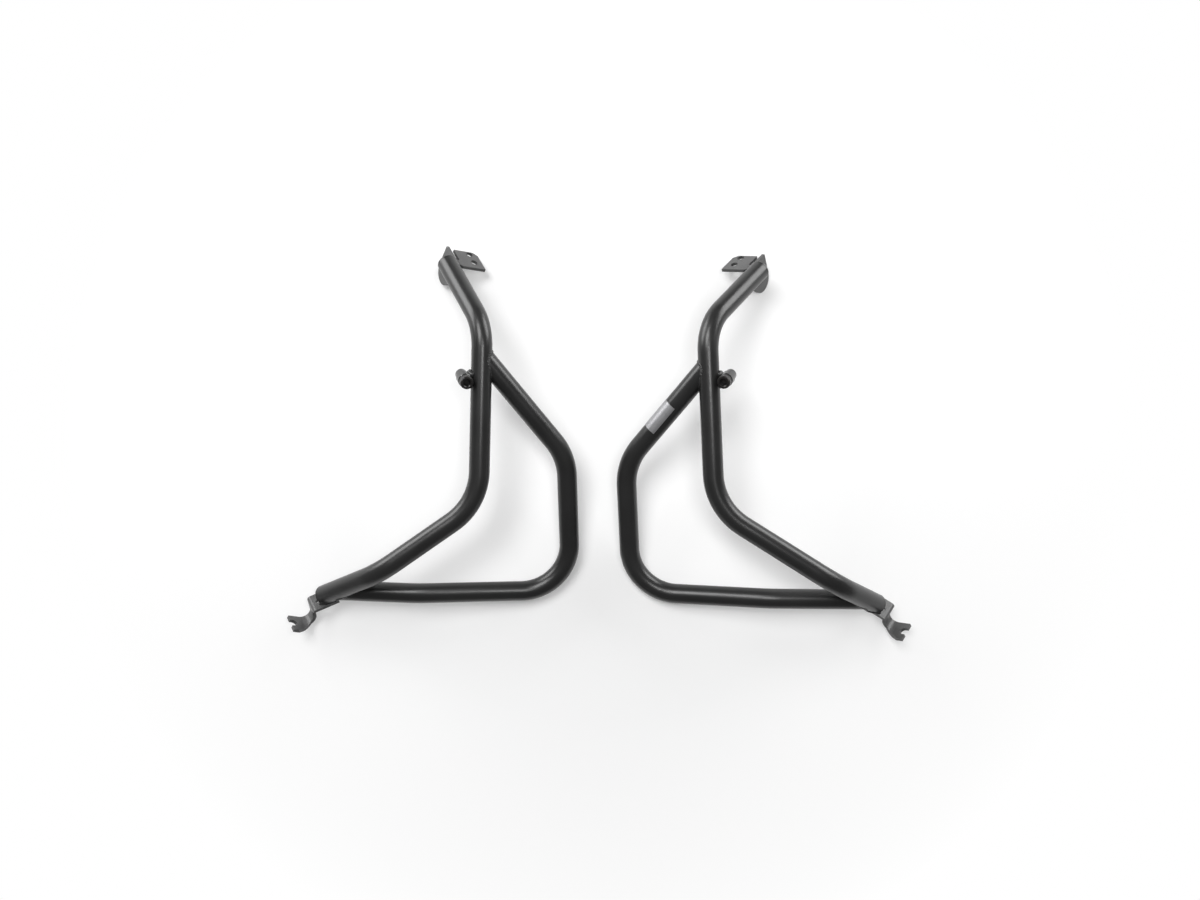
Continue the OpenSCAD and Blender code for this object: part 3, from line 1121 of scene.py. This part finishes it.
# The crease where a run meets a straight tube, seen round the run's own axis
def creasePath(start, direction, base, axis, radius, steps=96):
    sunk = radius - beads["sink"]
    d, m = direction.normalized(), axis.normalized()
    u = d.cross(m).normalized()
    v = d.cross(u)
    path = []
    for k in range(steps):
        a = 2 * pi * k / steps
        p = start + sunk * (cos(a) * u + sin(a) * v) - base
        # Where a line along the run meets the straight tube: the far root of a square
        pPerp, dPerp = p - m * p.dot(m), d - m * d.dot(m)
        qa, qb, qc = dPerp.dot(dPerp), 2 * pPerp.dot(dPerp), pPerp.dot(pPerp) - sunk**2
        disc = max(0, qb * qb - 4 * qa * qc)
        path.append(base + p + d * ((-qb + sqrt(disc)) / (2 * qa)))
    return path


# Each seam is a path and whether it closes on itself
def weldBead(name, bar, seams, radiusName, node):
    grown = []
    for i, (path, closed) in enumerate(seams):
        values = {
            "Bead Radius": beads[radiusName],
            "Ripple Spacing": beads["spacing"],
            "Ripple Width": beads["rippleWidth"],
            "Unevenness": beads["unevenness"],
            "Seed": beads["seed"] + i,
            "Material": coatOf["weld"],
        }
        grown.append(grow(name, trees["bead"], path, values, closed))
    body = joined(grown)
    # One skin over the core and its ripples
    skin = {"mode": "VOXEL", "voxel_size": beads["skinVoxel"], "adaptivity": 0.0}
    body = withModifier(body, "REMESH", skin)
    moved(body, rowMatrix(bar))
    return finishPiece(name, body, coatOf["weld"], [node], sharp=70)


# Down one side of the flange, across its rear and up the other side. The small
# offsets bring the bead into the crease between flange and tube.
def topPlateSeam(bar):
    p = topPlate
    rear = p["flangeFront"] - p["flangeWidth"]
    front = tube["capThickness"] - 0.5
    high = (p["flangeX"] + 0.4, p["flangeTop"] - 1.2)
    low = (p["flangeX"] - 0.6, 10.2)
    corners = [(high, front), (high, rear + 1.0)]
    path = [Vector((x, y, s)) for (x, y), s in corners]
    down = [Vector((p["flangeX"] + 1.2, p["flangeTop"] + k * 3.2, rear - 0.4)) for k in range(1, 5)]
    path += down + [Vector((low[0], low[1], rear + 1.0)), Vector((low[0], low[1], front))]
    matrix = topFrame(bar)
    return [matrix @ q for q in path]


# Where the tube's end stands on the strap's plate
def footSeam(bar):
    strap = strapFrame(bar)
    inverse = strap.inverted()
    axis = (bar["footEnd"] - bar["ankle"]).normalized()
    tip = bar["footEnd"] + axis * tube["capThickness"]
    local = along(axis, tip)
    r = tube["radius"]
    points = []
    # Down one side of the tube, across its end and back up the other side
    for k in range(73):
        a = 2 * pi * k / 72
        rim = Vector((r * cos(a), r * sin(a), 0))
        point = local @ rim
        height = (inverse @ point).y
        slope = (inverse.to_3x3() @ axis).y
        if height <= 0:
            points.append(inverse @ (point - axis * height / slope))
    points.sort(key=lambda q: (q.z, q.x))
    return [strap @ Vector((q.x, beads["footLift"], q.z)) for q in points]


# Two seams down the bush, where a ball would rest on both it and the tube
def boltSeam(bar):
    matrix = boltFrame(bar)
    start, d = matrix @ Vector((0, 0, 0)), matrix.to_3x3() @ Vector((0, 0, 1))
    base, m = bar["shoulder"], (bar["elbow"] - bar["shoulder"]).normalized()
    onTube, onBush = tube["radius"] + beads["bushLift"], bush["diameter"] / 2 + beads["bushLift"]
    seams = []
    for sign in (-1, 1):
        path = []
        for k in range(beads["bushPoints"]):
            share = k / (beads["bushPoints"] - 1)
            q = start + d * (beads["bushStart"] + bush["wideLength"] * share)
            # Ends of the two radii, in the plane across the bush
            toTube = base - q
            toTube = toTube - m * toTube.dot(m)
            gap = toTube.length
            inward = toTube / gap
            run = (gap**2 + onBush**2 - onTube**2) / (2 * gap)
            sideways = d.cross(inward).normalized()
            path.append(q + inward * run + sideways * sign * sqrt(max(0, onBush**2 - run**2)))
        seams.append((path, False))
    return seams


for side, bar in bars.items():
    start, finish = loopEnds(bar)
    r, sideRun, footRun = tube["radius"], bar["elbow"] - bar["shoulder"], bar["footEnd"] - bar["ankle"]
    upper = creasePath(start, bar["loopHigh"] - start, bar["shoulder"], sideRun, r)
    lower = creasePath(finish, bar["loopKink"] - finish, bar["ankle"], footRun, r)
    plateSeam, strapSeam = [(topPlateSeam(bar), False)], [(footSeam(bar), False)]
    weldBead(side + "LoopStartWeld", bar, [(upper, True)], "loopRadius", side + "_loop_start_weld")
    weldBead(side + "LoopFinishWeld", bar, [(lower, True)], "loopRadius", side + "_loop_finish_weld")
    weldBead(side + "TopPlateWeld", bar, plateSeam, "plateRadius", side + "_top_plate_weld")
    weldBead(side + "FootStrapWeld", bar, strapSeam, "footRadius", side + "_foot_strap_weld")
    weldBead(side + "BushWeld", bar, boltSeam(bar), "bushRadius", side + "_bush_weld")
print("crash bars: weld beads made")


# Foil label wrapped on the right loop's upper run
label = {
    "length": 41,
    "wrap": 106,
    "lift": 0.12,
    "thickness": 0.12,
    "start": 0.4,
    "roll": -40,
    "rows": 30,
    "columns": 26,
}


def foilLabel(bar):
    p = label
    start, _ = loopEnds(bar)
    run = bar["loopHigh"] - start
    matrix = along(run, start.lerp(bar["loopHigh"], p["start"]))
    r = tube["radius"] + p["lift"]
    made = bmesh.new()
    rows, columns = p["rows"], p["columns"]
    grid = []
    for i in range(rows + 1):
        s = p["length"] * i / rows
        row = []
        for j in range(columns + 1):
            a = radians(90 + p["roll"] + p["wrap"] * (j / columns - 0.5))
            row.append(made.verts.new((r * cos(a), r * sin(a), s)))
        grid.append(row)
    for i in range(rows):
        for j in range(columns):
            made.faces.new((grid[i][j], grid[i][j + 1], grid[i + 1][j + 1], grid[i + 1][j]))
    body = fromBmesh("label", made)
    body = withModifier(body, "SOLIDIFY", {"thickness": p["thickness"], "offset": 0})
    moved(body, rowMatrix(bar) @ matrix)
    return finishPiece("rightFoilLabel", body, foilMaterial, [], sharp=40)


foilLabel(bars["right"])
print("crash bars: label made")


# White floor that keeps the soft shadows, and a pale studio all round. The studio's
# lengths are in metres and its powers in watts. Each glow is a distance and the
# share of plain white there.
studio = {
    "floorSize": 8.0,
    "floorDrop": 0.0003,
    "floorShade": 0.9,
    "nearGlow": (0.36, 0.16),
    "farGlow": (0.70, 1.0),
    "keyPower": 63,
    "keySize": 1.6,
    "keyDistance": 3.2,
    "keyFrom": (-0.29, 0.39, 0.875),
    "overheadPower": 4.1,
    "overheadSize": 0.36,
    "overheadPlace": (0.20, 0.10, 1.3),
    "sidePower": 48,
    "sideWidth": 1.7,
    "sideHeight": 1.3,
    "sideDistance": 2.5,
    "sideTurn": 38,
    "worldHigh": 0.38,
    "worldLow": 0.40,
    "worldStrength": 0.5,
}


def floorPlane():
    half = studio["floorSize"] / 2
    mesh = bpy.data.meshes.new("floor")
    corners = [(-half, -half, 0), (half, -half, 0), (half, half, 0), (-half, half, 0)]
    mesh.from_pydata(corners, [], [(0, 1, 2, 3)])
    floor = bpy.data.objects.new("floor", mesh)
    scene.collection.objects.link(floor)
    floor.location.z = -studio["floorDrop"]
    shader, output = newMaterial("floorWhite")
    rays = shader.add("ShaderNodeLightPath")
    seen, glossy, through = (
        Wire(shader, rays.outputs[kind]) for kind in ("Is Camera Ray", "Is Glossy Ray", "Is Transmission Ray")
    )
    reflected = glossy + through
    matt = shader.add("ShaderNodeBsdfDiffuse", None, {"Color": (studio["floorShade"],) * 3 + (1,)})
    white = shader.add("ShaderNodeEmission", None, {"Color": (1, 1, 1, 1), "Strength": 1.0})
    # Away from the bars the floor glows to plain white, nearer it keeps their shadows
    distance = shader.wire("ShaderNodeVectorMath", {"operation": "LENGTH"}, {0: shader.place()}, "Value")
    glow = shader.ramp(distance, studio["nearGlow"], studio["farGlow"])
    share = seen * glow + reflected * studio["nearGlow"][1]
    shader.tree.links.new(shader.mix(share, matt, white).outputs[0], output.inputs["Surface"])
    mesh.materials.append(shader.owner)


def studioWorld():
    world = bpy.data.worlds.new("studio")
    scene.world = world
    shader = Shader(world)
    output = shader.add("ShaderNodeOutputWorld")
    direction = shader.wire("ShaderNodeTexCoord", output="Generated")
    parts = shader.add("ShaderNodeSeparateXYZ", None, {0: direction})
    height = Wire(shader, parts.outputs["Z"])
    shade = shader.ramp(height, (0.0, studio["worldLow"]), (0.85, studio["worldHigh"]))
    lit = shader.add("ShaderNodeBackground", None, {"Color": shade, "Strength": studio["worldStrength"]})
    plain = shader.add("ShaderNodeBackground", None, {"Color": (1, 1, 1, 1), "Strength": 1.0})
    seen = shader.wire("ShaderNodeLightPath", output="Is Camera Ray")
    shader.tree.links.new(shader.mix(seen, lit, plain).outputs[0], output.inputs["Surface"])


def areaLight(name, place, target, power, width, height=None):
    data = bpy.data.lights.new(name, "AREA")
    data.shape = "RECTANGLE" if height else "DISK"
    data.size = width
    if height:
        data.size_y = height
    data.energy = power
    lamp = bpy.data.objects.new(name, data)
    scene.collection.objects.link(lamp)
    lamp.location = place
    lamp.rotation_euler = (place - target).to_track_quat("Z", "Y").to_euler()
    lamp.visible_camera = False


def studioLights():
    s = studio
    ground = Vector((0, 0, 0))
    keyPlace = Vector(s["keyFrom"]).normalized() * s["keyDistance"]
    areaLight("key", keyPlace, ground, s["keyPower"], s["keySize"])
    above = Vector(s["overheadPlace"])
    areaLight("overhead", above, above - Vector((0, 0, 1)), s["overheadPower"], s["overheadSize"])
    # Low soft boxes on both sides, a little towards the top plates
    turn, middle = radians(s["sideTurn"]), Vector((0, 0, s["sideHeight"] / 2))
    for name, sign in (("leftSide", -1), ("rightSide", 1)):
        place = Vector((sign * cos(turn), sin(turn), 0)) * s["sideDistance"] + middle
        areaLight(name, place, middle, s["sidePower"], s["sideWidth"], s["sideHeight"])


floorPlane()
studioWorld()
studioLights()
print("crash bars: studio set")

print("crash bars: done")
